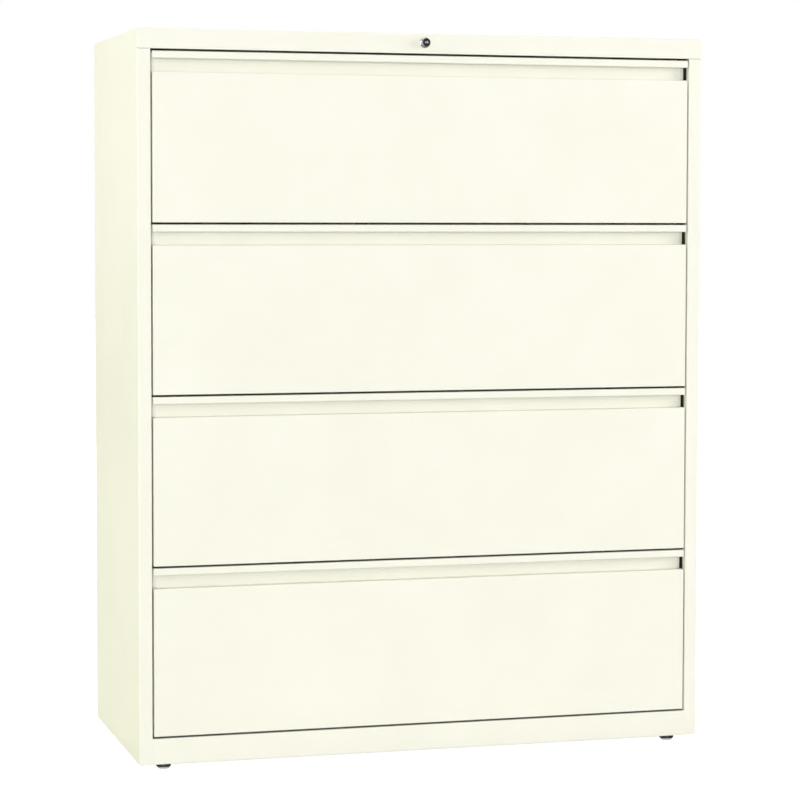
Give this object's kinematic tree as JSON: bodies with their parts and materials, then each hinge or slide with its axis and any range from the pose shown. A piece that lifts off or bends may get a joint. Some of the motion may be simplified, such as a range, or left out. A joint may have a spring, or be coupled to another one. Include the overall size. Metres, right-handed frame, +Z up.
{
  "type": "lateral filing cabinet",
  "caption": "Sheet-steel lateral filing cabinet with full-width drawers on telescopic slides, recessed pulls, one cam lock in the header and levelling feet.",
  "frame": {"origin": "on the floor under the middle of the whole, the lock's head included", "axes": "+Z up, drawers open towards -Y, +X to the right of someone who faces the drawers"},
  "size_m": [1.067, 0.4864, 1.324],
  "materials": {
    "cream_enamel": "cream powder coat on sheet steel, satin with a faint orange peel",
    "inner_enamel": "cream powder coat inside, thinner and flatter",
    "dark_steel": "dark zinc-plated turned steel",
    "chrome": "bright nickel-chrome plate",
    "lock_plug_metal": "turned plug with a dark keyway",
    "zinc": "bright zinc plate on rolled steel"
  },
  "bodies": {
    "case": {"left_side_panel": "cream_enamel", "right_side_panel": "cream_enamel", "top_panel": "cream_enamel", "back_panel": "cream_enamel", "base_rail": "cream_enamel", "bottom_pan": "inner_enamel", "left_front_upright": "inner_enamel", "left_rear_upright": "inner_enamel", "right_front_upright": "inner_enamel", "right_rear_upright": "inner_enamel", "lock_housing": "chrome", "lock_nut": "zinc", "lock_rod_bracket": "zinc", "drawer_1_slide_outer_left": "zinc", "drawer_1_slide_outer_right": "zinc", "drawer_2_slide_outer_left": "zinc", "drawer_2_slide_outer_right": "zinc", "drawer_3_slide_outer_left": "zinc", "drawer_3_slide_outer_right": "zinc", "drawer_4_slide_outer_left": "zinc", "drawer_4_slide_outer_right": "zinc"},
    "drawer_1": {"drawer_1_front": "cream_enamel", "drawer_1_tray": "inner_enamel", "drawer_1_slide_inner_left": "zinc", "drawer_1_slide_inner_right": "zinc"},
    "drawer_1_runner_left": {"drawer_1_slide_middle_left": "zinc"},
    "drawer_1_runner_right": {"drawer_1_slide_middle_right": "zinc"},
    "drawer_1_bar_left": {"drawer_1_hang_bar_left": "zinc"},
    "drawer_1_bar_right": {"drawer_1_hang_bar_right": "zinc"},
    "drawer_2": {"drawer_2_front": "cream_enamel", "drawer_2_tray": "inner_enamel", "drawer_2_slide_inner_left": "zinc", "drawer_2_slide_inner_right": "zinc"},
    "drawer_2_runner_left": {"drawer_2_slide_middle_left": "zinc"},
    "drawer_2_runner_right": {"drawer_2_slide_middle_right": "zinc"},
    "drawer_2_bar_left": {"drawer_2_hang_bar_left": "zinc"},
    "drawer_2_bar_right": {"drawer_2_hang_bar_right": "zinc"},
    "drawer_3": {"drawer_3_front": "cream_enamel", "drawer_3_tray": "inner_enamel", "drawer_3_slide_inner_left": "zinc", "drawer_3_slide_inner_right": "zinc"},
    "drawer_3_runner_left": {"drawer_3_slide_middle_left": "zinc"},
    "drawer_3_runner_right": {"drawer_3_slide_middle_right": "zinc"},
    "drawer_3_bar_left": {"drawer_3_hang_bar_left": "zinc"},
    "drawer_3_bar_right": {"drawer_3_hang_bar_right": "zinc"},
    "drawer_4": {"drawer_4_front": "cream_enamel", "drawer_4_tray": "inner_enamel", "drawer_4_slide_inner_left": "zinc", "drawer_4_slide_inner_right": "zinc"},
    "drawer_4_runner_left": {"drawer_4_slide_middle_left": "zinc"},
    "drawer_4_runner_right": {"drawer_4_slide_middle_right": "zinc"},
    "drawer_4_bar_left": {"drawer_4_hang_bar_left": "zinc"},
    "drawer_4_bar_right": {"drawer_4_hang_bar_right": "zinc"},
    "lock_cylinder": {"lock_plug": "lock_plug_metal", "lock_rod": "zinc"},
    "lock_bar": {"lock_bar": "zinc"},
    "front_left_foot": {"front_left_foot": "dark_steel"},
    "front_right_foot": {"front_right_foot": "dark_steel"},
    "rear_left_foot": {"rear_left_foot": "dark_steel"},
    "rear_right_foot": {"rear_right_foot": "dark_steel"}
  },
  "joints": [
    {"name": "drawer_1_pull", "type": "slide", "parent": "case", "child": "drawer_1", "axis": [0, -1, 0], "range_m": [0, 0.38]},
    {"name": "drawer_1_runner_left_slide", "type": "slide", "parent": "case", "child": "drawer_1_runner_left", "axis": [0, -1, 0], "range_m": [0, 0.19]},
    {"name": "drawer_1_runner_right_slide", "type": "slide", "parent": "case", "child": "drawer_1_runner_right", "axis": [0, -1, 0], "range_m": [0, 0.19]},
    {"name": "drawer_1_bar_left_shift", "type": "slide", "parent": "drawer_1", "child": "drawer_1_bar_left", "axis": [1, 0, 0], "range_m": [-0.12, 0.12]},
    {"name": "drawer_1_bar_right_shift", "type": "slide", "parent": "drawer_1", "child": "drawer_1_bar_right", "axis": [1, 0, 0], "range_m": [-0.12, 0.12]},
    {"name": "drawer_2_pull", "type": "slide", "parent": "case", "child": "drawer_2", "axis": [0, -1, 0], "range_m": [0, 0.38]},
    {"name": "drawer_2_runner_left_slide", "type": "slide", "parent": "case", "child": "drawer_2_runner_left", "axis": [0, -1, 0], "range_m": [0, 0.19]},
    {"name": "drawer_2_runner_right_slide", "type": "slide", "parent": "case", "child": "drawer_2_runner_right", "axis": [0, -1, 0], "range_m": [0, 0.19]},
    {"name": "drawer_2_bar_left_shift", "type": "slide", "parent": "drawer_2", "child": "drawer_2_bar_left", "axis": [1, 0, 0], "range_m": [-0.12, 0.12]},
    {"name": "drawer_2_bar_right_shift", "type": "slide", "parent": "drawer_2", "child": "drawer_2_bar_right", "axis": [1, 0, 0], "range_m": [-0.12, 0.12]},
    {"name": "drawer_3_pull", "type": "slide", "parent": "case", "child": "drawer_3", "axis": [0, -1, 0], "range_m": [0, 0.38]},
    {"name": "drawer_3_runner_left_slide", "type": "slide", "parent": "case", "child": "drawer_3_runner_left", "axis": [0, -1, 0], "range_m": [0, 0.19]},
    {"name": "drawer_3_runner_right_slide", "type": "slide", "parent": "case", "child": "drawer_3_runner_right", "axis": [0, -1, 0], "range_m": [0, 0.19]},
    {"name": "drawer_3_bar_left_shift", "type": "slide", "parent": "drawer_3", "child": "drawer_3_bar_left", "axis": [1, 0, 0], "range_m": [-0.12, 0.12]},
    {"name": "drawer_3_bar_right_shift", "type": "slide", "parent": "drawer_3", "child": "drawer_3_bar_right", "axis": [1, 0, 0], "range_m": [-0.12, 0.12]},
    {"name": "drawer_4_pull", "type": "slide", "parent": "case", "child": "drawer_4", "axis": [0, -1, 0], "range_m": [0, 0.38]},
    {"name": "drawer_4_runner_left_slide", "type": "slide", "parent": "case", "child": "drawer_4_runner_left", "axis": [0, -1, 0], "range_m": [0, 0.19]},
    {"name": "drawer_4_runner_right_slide", "type": "slide", "parent": "case", "child": "drawer_4_runner_right", "axis": [0, -1, 0], "range_m": [0, 0.19]},
    {"name": "drawer_4_bar_left_shift", "type": "slide", "parent": "drawer_4", "child": "drawer_4_bar_left", "axis": [1, 0, 0], "range_m": [-0.12, 0.12]},
    {"name": "drawer_4_bar_right_shift", "type": "slide", "parent": "drawer_4", "child": "drawer_4_bar_right", "axis": [1, 0, 0], "range_m": [-0.12, 0.12]},
    {"name": "lock_bar_lift", "type": "slide", "parent": "case", "child": "lock_bar", "axis": [0, 0, 1], "range_m": [0, 0.01131]},
    {"name": "lock_turn", "type": "hinge", "parent": "case", "child": "lock_cylinder", "pos_m": [-0.006, -0.2298, 1.3076], "axis": [0, -1, 0], "range_deg": [0, 90]},
    {"name": "front_left_foot_screw", "type": "slide", "parent": "case", "child": "front_left_foot", "axis": [0, 0, -1], "range_m": [0, 0.02]},
    {"name": "front_right_foot_screw", "type": "slide", "parent": "case", "child": "front_right_foot", "axis": [0, 0, -1], "range_m": [0, 0.02]},
    {"name": "rear_left_foot_screw", "type": "slide", "parent": "case", "child": "rear_left_foot", "axis": [0, 0, -1], "range_m": [0, 0.02]},
    {"name": "rear_right_foot_screw", "type": "slide", "parent": "case", "child": "rear_right_foot", "axis": [0, 0, -1], "range_m": [0, 0.02]}
  ],
  "couplings": [
    {"joint": "drawer_1_runner_left_slide", "follows": "drawer_1_pull", "ratio": 0.5},
    {"joint": "drawer_1_runner_right_slide", "follows": "drawer_1_pull", "ratio": 0.5},
    {"joint": "drawer_2_runner_left_slide", "follows": "drawer_2_pull", "ratio": 0.5},
    {"joint": "drawer_2_runner_right_slide", "follows": "drawer_2_pull", "ratio": 0.5},
    {"joint": "drawer_3_runner_left_slide", "follows": "drawer_3_pull", "ratio": 0.5},
    {"joint": "drawer_3_runner_right_slide", "follows": "drawer_3_pull", "ratio": 0.5},
    {"joint": "drawer_4_runner_left_slide", "follows": "drawer_4_pull", "ratio": 0.5},
    {"joint": "drawer_4_runner_right_slide", "follows": "drawer_4_pull", "ratio": 0.5},
    {"joint": "lock_turn", "follows": "lock_bar_lift", "rad_per_m": 138.88}
  ]
}
